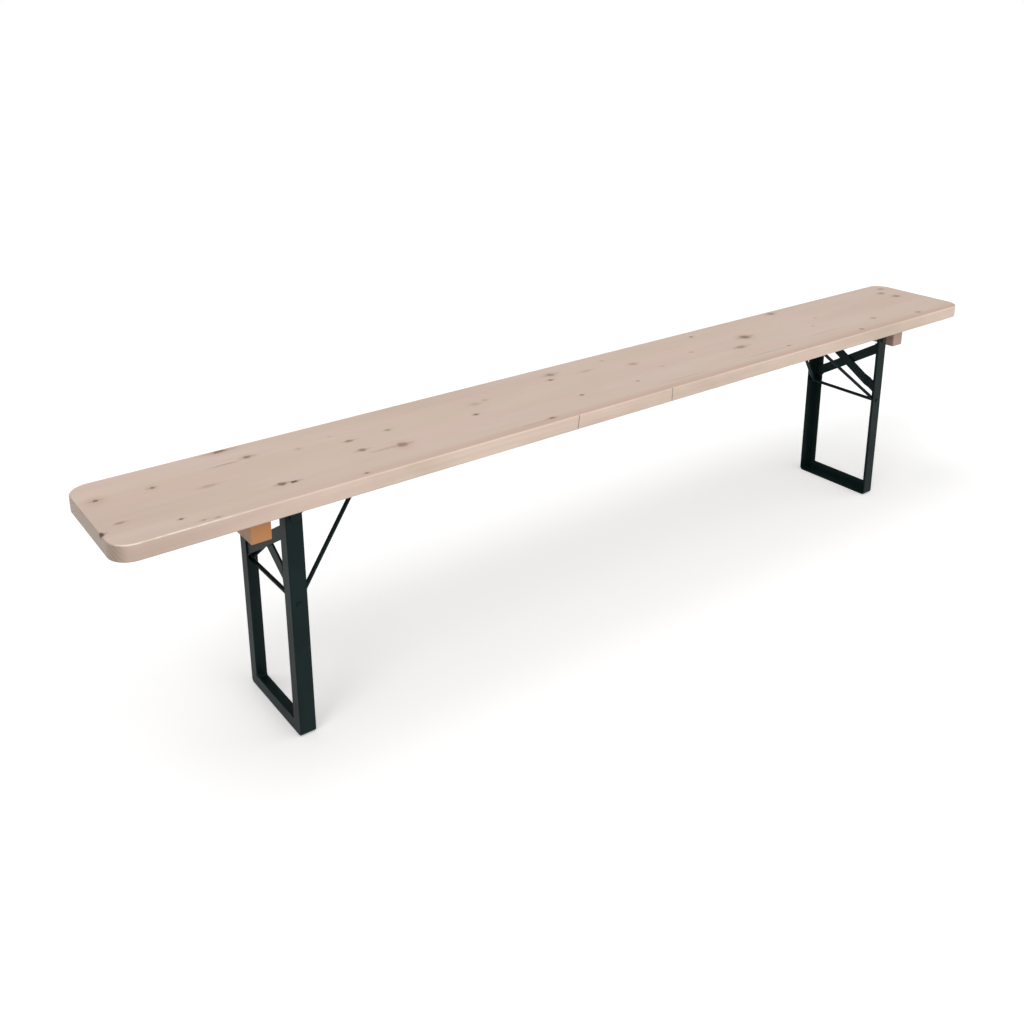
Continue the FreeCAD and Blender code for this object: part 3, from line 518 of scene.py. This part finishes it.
def plank_finish(look):
    """Pale softwood: boards, rings, knots, resin streaks and the joints on the front edge."""
    finish = Finish("plank_wood")
    ragged = (finish.noise(finish.stretched((1.0, 1.6, 1.0)), 150.0, 3.0, 0.6) - 0.5) * 1.2
    across = finish.y
    core = flare = 0.0
    for knots in KNOT_ROWS:
        away, tail, beside, darkness, reach = knot_row(finish, knots)
        rough = away + ragged
        core = finish.math("MAXIMUM", core, finish.fade(rough, 1.35, 0.45) * darkness)
        core = finish.math(
            "MAXIMUM", core, finish.fade(tail + ragged * 0.6, 1.1, 0.3) * darkness * 0.45)
        flare = finish.math("MAXIMUM", flare, finish.fade(rough, reach * 1.3, 0.6) * (
            darkness * 0.55 + 0.12))
        across = across - beside * finish.fade(away, 4.5, 0.0, 0.0, 0.8) * finish.fade(
            darkness, 0.2, 0.5)
    upper = finish.fade(finish.z, PLANK_HIGH.z - 0.010, PLANK_HIGH.z - 0.002)
    core = core * upper
    flare = flare * upper
    facing_x, facing_y, facing_z = finish.facing()
    sawn = finish.fade(abs(facing_x), 0.35, 0.9)
    planed = finish.fade(abs(facing_y), 0.35, 0.85)
    lines = wood_rings(finish, across, look.rings)
    arcs = end_rings(finish, look.rings)
    # The long edges take the edge wood: paler planed wood, and also painted light that brightens
    # the front face.
    colour = finish.blend(planed, look.pale, look.edge)
    colour = finish.blend(lines * look.grain, colour, look.dark)
    for tint, size, shift, share in (
            (look.dark, (1.3, 9.0, 9.0), (0.0, 0.0, 0.0), 0.34),
            (look.pink, (3.1, 16.0, 9.0), (5.0, 2.0, 0.0), 0.55),
            (look.straw, (4.3, 22.0, 9.0), (1.0, 7.0, 3.0), 0.50)):
        patch = finish.noise(finish.stretched(size, shift), 1.0, 3.0, 0.55)
        colour = finish.blend(finish.fade(patch, 0.42, 0.72) * share, colour, tint)
    board = finish.fade(finish.y, FRONT_EDGE + 0.035, FRONT_EDGE + 0.003)
    board = board * upper * (1.0 - planed) * finish.fade(finish.x, -1.0, -0.35, 0.15, 0.50)
    colour = finish.blend(board, colour, look.flush)
    # Painted shade: the long edges grow darker towards the left end, where little light falls.
    painted_shade = planed * finish.fade(finish.x, -0.80, -1.05) * 0.45
    colour = finish.blend(painted_shade, colour, look.dark)
    # End faces take the sawn-end colour: darker end grain, and also painted shade of the left end
    # face.
    colour = finish.blend(sawn * (0.75 + arcs * 0.25), colour, look.ends)
    colour = finish.blend(flare * 0.70, colour, look.flare)
    colour = finish.blend(core, colour, look.core)
    front = finish.fade(finish.y, FRONT_EDGE + 0.0022, FRONT_EDGE + 0.0012)
    joints = 0.0
    height = (finish.z - PLANK_UNDER) / (PLANK_HIGH.z - PLANK_UNDER)
    for x, lean in EDGE_JOINTS:
        line = abs(finish.x - x * MM - height * (lean * MM) + finish.noise(
            finish.stretched((0.0, 0.0, 1.0)), 90.0, 1.0) * 0.0012)
        joints = finish.math("MAXIMUM", joints, finish.fade(line, 0.0018, 0.0005) * front)
    colour = finish.blend(joints * 0.60, colour, look.core)
    # Painted highlight: a broken pale line where the rounded upper front edge catches the light,
    # at the left end only.
    arris_highlight = finish.fade(facing_y, -0.30, -0.60) * finish.fade(facing_z, 0.25, 0.60)
    broken = finish.noise(finish.stretched((38.0, 1.0, 1.0)), 1.0, 2.0)
    wear_and_highlight = arris_highlight * finish.fade(finish.x, -0.84, -0.96) * finish.fade(broken, 0.40, 0.55, 0.4, 1.0)
    colour = finish.blend(wear_and_highlight * 0.75, colour, look.arris_highlight)
    rough = 0.46 - lines * 0.06 + core * 0.1
    pores = finish.noise(finish.stretched((60.0, 1400.0, 1400.0)), 1.0, 2.0)
    height = pores * 0.25 - lines * 0.35 - core * 0.6 - joints
    return finish.shade(
        Base_Color=colour, Roughness=rough, Normal=finish.bump(height, 0.0004, 0.5),
        Specular_IOR_Level=0.35)


def batten_finish(name, colour, side_colour, rings):
    """Sawn softwood batten with grain along Y, and rings on its ends of another colour."""
    finish = Finish(name)
    dark = tuple(part * share for part, share in zip(colour, (0.72, 0.62, 0.55)))
    streak = finish.noise(finish.stretched((rings, 3.0, rings)), 1.0, 3.0, 0.6)
    facing_x, facing_y, facing_z = finish.facing()
    sawn = finish.fade(abs(facing_y), 0.5, 0.8)
    mirrored = finish.node("ShaderNodeVectorMath", {"operation": "ABSOLUTE"}, {0: finish.place})
    pith = finish.stretched((1.0, 0.0, 1.0), (-0.850, 0.0, -0.360), mirrored.outputs[0])
    wobble = finish.noise(finish.place, 60.0, 2.0) * 0.004
    wave = finish.math("SINE", (finish.length(pith) + wobble) * 2600.0)
    arcs = finish.fade(wave, -0.4, 0.9)
    lines = finish.fade(streak, 0.38, 0.68)
    factor = lines * (1.0 - sawn) * 0.55 + sawn * (arcs * 0.40 + 0.05)
    colour = finish.blend(sawn, side_colour, colour)
    base = finish.blend(factor, colour, dark)
    fuzz = finish.noise(finish.stretched((900.0, 120.0, 900.0)), 1.0, 2.0)
    return finish.shade(
        Base_Color=base, Roughness=0.72 - lines * 0.08,
        Normal=finish.bump(fuzz * 0.5 - lines * 0.3, 0.0004, 0.5), Specular_IOR_Level=0.3)


# Steel

def coated_steel(name, look, gloss=0.0):
    """Powder coat with orange peel, dust near the floor and rubbed edges of the tone."""
    finish = Finish(name)
    peel = finish.noise(finish.place, 520.0, 2.0, 0.5)
    cloud = finish.noise(finish.place, 14.0, 3.0, 0.6)
    scuff = finish.noise(finish.stretched((1.0, 1.0, 0.15)), 260.0, 3.0, 0.7)
    low = finish.fade(finish.z, 0.030, 0.0)
    wear_and_highlight = finish.fade(scuff + low * 0.10, 0.70, 0.80) * (0.25 + low * 0.5)
    pale = tuple(min(1.0, part * 3.2 + 0.012) for part in look.coat)
    deep = tuple(part * 0.70 for part in look.coat)
    colour = finish.blend(finish.fade(cloud, 0.3, 0.7), look.coat, deep)
    colour = finish.blend(wear_and_highlight, colour, pale)
    rough = (look.roughness - gloss) + (cloud - 0.5) * 0.12 + wear_and_highlight * 0.2
    return finish.shade(
        Base_Color=colour, Roughness=rough,
        Normal=finish.bump(peel, 0.00025, look.peel), Specular_IOR_Level=0.12)


def zinc_steel(look):
    """Zinc-plated steel with a faint blue and yellow bloom."""
    finish = Finish("zinc_steel")
    bloom = finish.noise(finish.place, 130.0, 3.0, 0.6)
    cells = finish.noise(finish.place, 900.0, 2.0, 0.5)
    warm = tuple(part * share for part, share in zip(look.zinc, (1.0, 0.95, 0.82)))
    colour = finish.blend(finish.fade(bloom, 0.35, 0.70), look.zinc, warm)
    return finish.shade(
        Base_Color=colour, Metallic=1.0, Roughness=0.30 + cells * 0.16,
        Normal=finish.bump(cells, 0.0001, 0.25))


def spring_steel(look):
    """Rolled spring steel with fine lines along the strip."""
    finish = Finish("spring_steel")
    lines = finish.noise(finish.stretched((60.0, 2600.0, 600.0)), 1.0, 2.0, 0.6)
    stain = finish.noise(finish.place, 60.0, 3.0)
    blue = tuple(part * share for part, share in zip(look.spring, (0.70, 0.78, 1.0)))
    colour = finish.blend(finish.fade(stain, 0.4, 0.7), look.spring, blue)
    return finish.shade(
        Base_Color=colour, Metallic=1.0, Roughness=0.26 + lines * 0.2,
        Normal=finish.bump(lines, 0.0001, 0.3))


# Modelling

def start_clean():
    """Leave edit mode and select nothing."""
    if bpy.context.mode != "OBJECT":
        bpy.ops.object.mode_set(mode="OBJECT")
    bpy.ops.object.select_all(action="DESELECT")


def settle(piece, name):
    """Name a finished piece and move its place into its mesh."""
    start_clean()
    piece.select_set(True)
    bpy.context.view_layer.objects.active = piece
    bpy.ops.object.transform_apply(location=True, rotation=True, scale=True)
    bpy.ops.object.shade_smooth_by_angle(angle=SMOOTH_ANGLE)
    piece.name = name
    piece.data.name = name
    return piece


def joined(pieces, name, material, body):
    """Several pieces as one, with its finish, slot and the body it rides."""
    start_clean()
    for piece in pieces:
        piece.select_set(True)
    bpy.context.view_layer.objects.active = pieces[0]
    bpy.ops.object.join()
    whole = settle(pieces[0], name)
    whole.data.materials.clear()
    whole.data.materials.append(material)
    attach(whole, body)
    return whole


def drawn_out(rings, corners):
    """A closed shape along +Z: a disc drawn out ring by ring, each a height and a radius."""
    start_clean()
    (height, radius), *others = rings
    bpy.ops.mesh.primitive_circle_add(
        vertices=corners, radius=radius, fill_type="NGON", location=(0.0, 0.0, height))
    bpy.ops.object.mode_set(mode="EDIT")
    bpy.ops.mesh.select_all(action="SELECT")
    for higher, wider in others:
        bpy.ops.mesh.extrude_region_move(
            TRANSFORM_OT_translate={"value": (0.0, 0.0, higher - height)})
        bpy.ops.transform.resize(
            value=(wider / radius, wider / radius, 1.0), center_override=(0.0, 0.0, higher))
        height, radius = higher, wider
    bpy.ops.mesh.select_all(action="SELECT")
    bpy.ops.mesh.normals_make_consistent(inside=False)
    bpy.ops.object.mode_set(mode="OBJECT")
    piece = bpy.context.active_object
    start_clean()
    piece.select_set(True)
    bpy.ops.object.transform_apply(location=True, rotation=True, scale=True)
    return piece


def copies(piece, places):
    """A copy of a piece, with its own mesh, at each place and direction of its Z axis.

    The piece itself is taken away.
    """
    made = []
    for start, along, turn in places:
        start_clean()
        piece.select_set(True)
        bpy.context.view_layer.objects.active = piece
        bpy.ops.object.duplicate(linked=False)
        copy = bpy.context.active_object
        bpy.ops.transform.rotate(value=turn, orient_axis="Z", center_override=(0.0, 0.0, 0.0))
        bpy.ops.object.transform_apply(location=True, rotation=True, scale=True)
        copy.rotation_euler = Vector(along).to_track_quat("Z", "Y").to_euler()
        copy.location = start
        made.append(copy)
    start_clean()
    piece.select_set(True)
    bpy.ops.object.delete()
    return made


def weld_bead(length, sizes, radius):
    """A rippled bead of a length along +Z."""
    steps = max(3, round(length / sizes.pitch)) * 2
    tip, crest, valley = radius * 0.5, radius, radius * 0.82
    rings = [(0.0, tip)]
    for index in range(1, steps):
        rings.append((length * index / steps, crest if index % 2 else valley))
    rings.append((length, tip))
    return drawn_out(rings, sizes.sides)


def laid(piece, lines):
    """Copies of a bead along lines from a start to an end."""
    places = [(start, Vector(end) - Vector(start), 0.0) for start, end in lines]
    return copies(piece, places)


def weld_collar(ring, thick):
    """A rippled bead round a bar along Z."""
    around = 28
    start_clean()
    bpy.ops.mesh.primitive_torus_add(
        major_segments=around, minor_segments=10, major_radius=ring, minor_radius=thick)
    collar = bpy.context.active_object
    bpy.ops.object.mode_set(mode="EDIT")
    bpy.ops.mesh.select_all(action="DESELECT")
    bpy.ops.object.mode_set(mode="OBJECT")
    for vertex in collar.data.vertices:
        turn = math.atan2(vertex.co.y, vertex.co.x) % (2 * math.pi)
        vertex.select = round(turn / (2 * math.pi) * around) % 2 == 0
    bpy.ops.object.mode_set(mode="EDIT")
    bpy.ops.transform.shrink_fatten(value=-thick * 0.22)
    bpy.ops.object.mode_set(mode="OBJECT")
    return collar


def make_frame_welds(sizes, coat):
    """Beads at the feet's mitres and along the ends of the cross bars."""
    lean = math.atan(CROSS_SLOPE)
    for end, sign in ENDS:
        face = sign * (LEG_FRAME_PLACE + FLANGE_FACE)
        mitres, seams = [], []
        for across in (-1, 1):
            mitres.append([(face, across * y, z) for y, z in (MITRE_INNER, MITRE_OUTER)])
            for rise in (-1, 1):
                for away in (-CROSS_EDGE, CROSS_EDGE):
                    seams.append([(
                        face,
                        across * (span * MM - rise * away * math.sin(lean)),
                        CROSSING_HEIGHT + rise * span * CROSS_SLOPE * MM
                        + away * math.cos(lean)) for span in CROSS_SEAM])
        lengths = [(Vector(line[1]) - Vector(line[0])).length for line in (mitres[0], seams[0])]
        beads = laid(weld_bead(lengths[0], sizes, sizes.radius * 0.75), mitres)
        beads += laid(weld_bead(lengths[1], sizes, sizes.radius), seams)
        joined(beads, "frame_welds_" + end, coat, "leg_frame_" + end)


def make_brace_welds(coat):
    """Collars where each bow stands on its axle."""
    for end, sign in ENDS:
        low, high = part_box("brace_bow_" + end)
        inner = low.x if sign > 0 else high.x
        places = []
        for across in (-1, 1):
            foot = Vector((sign * LEG_FRAME_PLACE, across * BRACE_FOOT, AXLE_HEIGHT))
            top = Vector((inner + sign * BRACE_BAR, across * BRACE_TOP, high.z - BRACE_BAR))
            along = (top - foot).normalized()
            places.append((foot + along * COLLAR_RISE, along, 0.0))
        collars = copies(weld_collar(COLLAR_RING, COLLAR_THICK), places)
        joined(collars, "brace_welds_" + end, coat, "brace_" + end)


def make_hook_welds(sizes, coat):
    """Two beads that hold each hook's foot to its plate."""
    for end, sign in ENDS:
        low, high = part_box("catch_hook_" + end)
        outer = high.x if sign > 0 else low.x
        height = high.z - HOOK_SEAM_DROP
        lines = [
            [(outer - sign * inset, y, height) for inset in HOOK_SEAM]
            for y in (low.y, high.y)]
        length = HOOK_SEAM[0] - HOOK_SEAM[1]
        beads = laid(weld_bead(length, sizes, sizes.radius * 0.7), lines)
        joined(beads, "hook_welds_" + end, coat, "seat")


def with_recess(screw, sizes):
    """Cut the cross recess into a screw whose head lies at its lower end."""
    for turn in (0.0, 90.0):
        start_clean()
        bpy.ops.mesh.primitive_cube_add(size=1.0)
        cutter = bpy.context.active_object
        bpy.ops.object.mode_set(mode="EDIT")
        bpy.ops.mesh.select_all(action="SELECT")
        bpy.ops.transform.resize(
            value=(sizes.recess * 2, sizes.slot, sizes.depth * 2),
            center_override=(0.0, 0.0, 0.0))
        bpy.ops.transform.rotate(
            value=math.radians(turn), orient_axis="Z", center_override=(0.0, 0.0, 0.0))
        bpy.ops.object.mode_set(mode="OBJECT")
        start_clean()
        screw.select_set(True)
        bpy.context.view_layer.objects.active = screw
        cut = screw.modifiers.new("recess", "BOOLEAN")
        cut.operation = "DIFFERENCE"
        cut.solver = "EXACT"
        cut.object = cutter
        bpy.ops.object.modifier_apply(modifier=cut.name)
        start_clean()
        cutter.select_set(True)
        bpy.ops.object.delete()
    return screw


PAN_HEAD = ((0.0, 2.7), (0.15, 3.2), (0.55, 3.8), (1.1, 4.1), (1.8, 4.2), (2.4, 4.1), (2.4, 2.2),
            (17.5, 2.2), (20.0, 0.4))
FLAT_HEAD = ((0.0, 4.2), (0.35, 4.6), (2.5, 2.5), (56.0, 2.5), (60.0, 0.4))


def make_screws(sizes, zinc):
    """Cross-head screws in the place of the plain ones of the CAD model."""
    profiles = {
        name: [(height * MM, radius * MM) for height, radius in rings]
        for name, rings in (("pan", PAN_HEAD), ("flat", FLAT_HEAD))}
    for end, sign in ENDS:
        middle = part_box("batten_screws_" + end)
        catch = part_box("catch_screws_" + end)
        sets = {
            "batten_screws_" + end: ("flat", [
                ((middle[0].x + middle[1].x) / 2, y * MM) for y in BATTEN_SCREWS]),
            "hinge_screws_" + end: ("pan", [
                (sign * (LEG_FRAME_PLACE + ahead * MM), side * y * MM)
                for side in (-1, 1) for ahead, y in HINGE_SCREWS]),
            "catch_screws_" + end: ("pan", [
                (x, y * MM)
                for x in (catch[0].x + CATCH_SCREW_EDGE, catch[1].x - CATCH_SCREW_EDGE)
                for y in CATCH_SCREWS]),
        }
        for name, (kind, spots) in sets.items():
            screw = with_recess(drawn_out(profiles[kind], SCREW_CORNERS), sizes)
            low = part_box(name)[0].z
            first_turn = spots[0][1] * 10
            places = [
                ((x, y, low), (0.0, 0.0, 1.0), index * SCREW_TURN + first_turn)
                for index, (x, y) in enumerate(spots)]
            piece = joined(copies(screw, places), name + "_cross", zinc, "seat")
            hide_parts(name)


# Operators

class BENCH_OT_plank(Operator):
    """Give the seat plank its wood"""
    bl_idname = "bench.plank"
    bl_label = "Plank wood"

    def execute(self, context):
        """Build the wood and put it on the plank."""
        dress(plank_finish(context.scene.bench_plank), "seat_plank")
        return {"FINISHED"}


class BENCH_OT_battens(Operator):
    """Give the two battens their wood"""
    bl_idname = "bench.battens"
    bl_label = "Batten wood"

    def execute(self, context):
        """Build each batten's wood and put it on."""
        look = context.scene.bench_battens
        dress(batten_finish("batten_wood_left", look.left, look.sides, 95.0), "batten_left")
        dress(batten_finish("batten_wood_right", look.right, look.right, 130.0), "batten_right")
        return {"FINISHED"}


class BENCH_OT_steel(Operator):
    """Coat the leg frames, braces, brackets and catches, and plate the small parts"""
    bl_idname = "bench.steel"
    bl_label = "Steel finishes"

    def execute(self, context):
        """Build the steel finishes and put them on."""
        look = context.scene.bench_steel
        coat = coated_steel("frame_steel", look)
        hinge = coated_steel("hinge_steel", look, 0.08)
        zinc = zinc_steel(look)
        spring = spring_steel(look)
        for end, sign in ENDS:
            dress(coat, "leg_hoop_" + end, "cross_bar_straight_" + end,
                  "cross_bar_joggled_" + end, "brace_axle_" + end, "brace_bow_" + end)
            dress(hinge, f"hinge_bracket_{end}_front", f"hinge_bracket_{end}_rear",
                  "pivot_rivets_" + end, "catch_plate_" + end, "catch_hook_" + end)
            dress(zinc, "batten_screws_" + end, "hinge_screws_" + end, "catch_screws_" + end,
                  "pivot_washers_" + end, "tongue_rivet_" + end)
            dress(spring, "catch_tongue_" + end)
        return {"FINISHED"}


class BENCH_OT_welds(Operator):
    """Model the weld beads of the leg frames, braces and hooks"""
    bl_idname = "bench.welds"
    bl_label = "Weld beads"

    def execute(self, context):
        """Build the beads of both ends."""
        sizes = context.scene.bench_welds
        coat = bpy.data.materials["frame_steel"]
        make_frame_welds(sizes, coat)
        make_brace_welds(coat)
        make_hook_welds(sizes, bpy.data.materials["hinge_steel"])
        return {"FINISHED"}


class BENCH_OT_screws(Operator):
    """Model the wood screws with their cross recesses"""
    bl_idname = "bench.screws"
    bl_label = "Screws"

    def execute(self, context):
        """Build the screws of both ends."""
        make_screws(context.scene.bench_screws, bpy.data.materials["zinc_steel"])
        return {"FINISHED"}


class BENCH_OT_stage(Operator):
    """Set up the floor, the soft light and the camera"""
    bl_idname = "bench.stage"
    bl_label = "Stage"

    def execute(self, context):
        """Build the floor, the lights and the camera."""
        look = context.scene.bench_stage
        make_floor(look)
        make_lights(context.scene, look)
        make_camera(context.scene, look)
        return {"FINISHED"}


def seen(finish):
    """1 for rays that show a surface to the viewer, also through gloss and glass."""
    path = finish.node("ShaderNodeLightPath")
    camera = Number(finish, path.outputs["Is Camera Ray"])
    glossy = Number(finish, path.outputs["Is Glossy Ray"])
    through = Number(finish, path.outputs["Is Transmission Ray"])
    return finish.math("MINIMUM", camera + glossy + through, 1.0)


def make_floor(look):
    """A wide pale floor, which keeps the bench's shadow."""
    start_clean()
    bpy.ops.mesh.primitive_plane_add(size=FLOOR_SIZE, location=(0.0, 0.0, FLOOR_HEIGHT))
    floor = bpy.context.active_object
    floor.name = "floor"
    finish = Finish("floor")
    giving = finish.node("ShaderNodeBsdfDiffuse", inputs={0: look.floor})
    shown = finish.node("ShaderNodeBsdfDiffuse", inputs={0: look.backdrop})
    glow = finish.node("ShaderNodeEmission", inputs={0: look.backdrop, 1: look.glow})
    white = finish.node("ShaderNodeAddShader", inputs={0: shown.outputs[0], 1: glow.outputs[0]})
    both = finish.node("ShaderNodeMixShader", inputs={
        0: seen(finish), 1: giving.outputs[0], 2: white.outputs[0]})
    finish.node("ShaderNodeOutputMaterial", inputs={0: both.outputs[0]})
    floor.data.materials.append(finish.material)


def make_lights(scene, look):
    """A pale sky all round, a broad lamp in front and narrower ones above and beside."""
    world = bpy.data.worlds.new("studio")
    scene.world = world
    world.use_nodes = True
    nodes = world.node_tree.nodes
    nodes.clear()
    path = nodes.new("ShaderNodeLightPath")
    light = nodes.new("ShaderNodeBackground")
    light.inputs[0].default_value = SKY_COLOUR
    light.inputs[1].default_value = SKY_STRENGTH
    back = nodes.new("ShaderNodeBackground")
    back.inputs[0].default_value = WHITE
    mix = nodes.new("ShaderNodeMixShader")
    out = nodes.new("ShaderNodeOutputWorld")
    links = world.node_tree.links
    links.new(path.outputs["Is Camera Ray"], mix.inputs[0])
    links.new(light.outputs[0], mix.inputs[1])
    links.new(back.outputs[0], mix.inputs[2])
    links.new(mix.outputs[0], out.inputs[0])
    for name, power, angle, turn in LAMPS:
        lamp = bpy.data.lights.new(name, "SUN")
        lamp.energy = power
        lamp.angle = math.radians(angle)
        lamp.color = LAMP_COLOUR
        holder = bpy.data.objects.new(name, lamp)
        holder.location = (0.0, 0.0, 3.0)
        holder.rotation_euler = [math.radians(degrees) for degrees in turn]
        scene.collection.objects.link(holder)


def make_camera(scene, look):
    """The camera at the photograph's place."""
    lens = bpy.data.cameras.new("camera")
    lens.sensor_width = 36.0
    lens.lens = look.lens
    lens.shift_x = look.shift_x
    lens.shift_y = look.shift_y
    lens.clip_start = 0.05
    lens.clip_end = 1000.0
    camera = bpy.data.objects.new("camera", lens)
    camera.location = look.place
    camera.rotation_euler = look.turn
    scene.collection.objects.link(camera)
    scene.camera = camera


class BENCH_PT_parts(Panel):
    """Lists the steps and their sizes and colours"""
    bl_idname = "BENCH_PT_parts"
    bl_label = "Folding Bench"
    bl_space_type = "VIEW_3D"
    bl_region_type = "UI"
    bl_category = "Bench"

    def draw(self, context):
        """One button for each step, with its settings below."""
        for step, settings in STEPS:
            self.layout.operator(step.bl_idname)
            if settings:
                group = getattr(context.scene, settings)
                for name in group.__annotations__:
                    self.layout.prop(group, name)


STEPS = (
    (BENCH_OT_plank, "bench_plank"),
    (BENCH_OT_battens, "bench_battens"),
    (BENCH_OT_steel, "bench_steel"),
    (BENCH_OT_welds, "bench_welds"),
    (BENCH_OT_screws, "bench_screws"),
    (BENCH_OT_stage, "bench_stage"),
)
SETTINGS = {
    "bench_plank": PlankLook,
    "bench_battens": BattenLook,
    "bench_steel": SteelLook,
    "bench_welds": WeldSizes,
    "bench_screws": ScrewSizes,
    "bench_stage": StageLook,
}


def register():
    """Make the settings, steps and panel known to Blender."""
    for name, group in SETTINGS.items():
        bpy.utils.register_class(group)
        setattr(bpy.types.Scene, name, PointerProperty(type=group))
    for step, settings in STEPS:
        bpy.utils.register_class(step)
    bpy.utils.register_class(BENCH_PT_parts)


def unregister():
    """Take them away again."""
    bpy.utils.unregister_class(BENCH_PT_parts)
    for step, settings in reversed(STEPS):
        bpy.utils.unregister_class(step)
    for name, group in reversed(SETTINGS.items()):
        delattr(bpy.types.Scene, name)
        bpy.utils.unregister_class(group)


def main():
    """Run each step in turn."""
    bpy.context.scene.view_settings.view_transform = "Standard"
    register()
    for step, settings in STEPS:
        group, name = step.bl_idname.split(".")
        getattr(getattr(bpy.ops, group), name)()


if __name__ == "__main__":
    main()
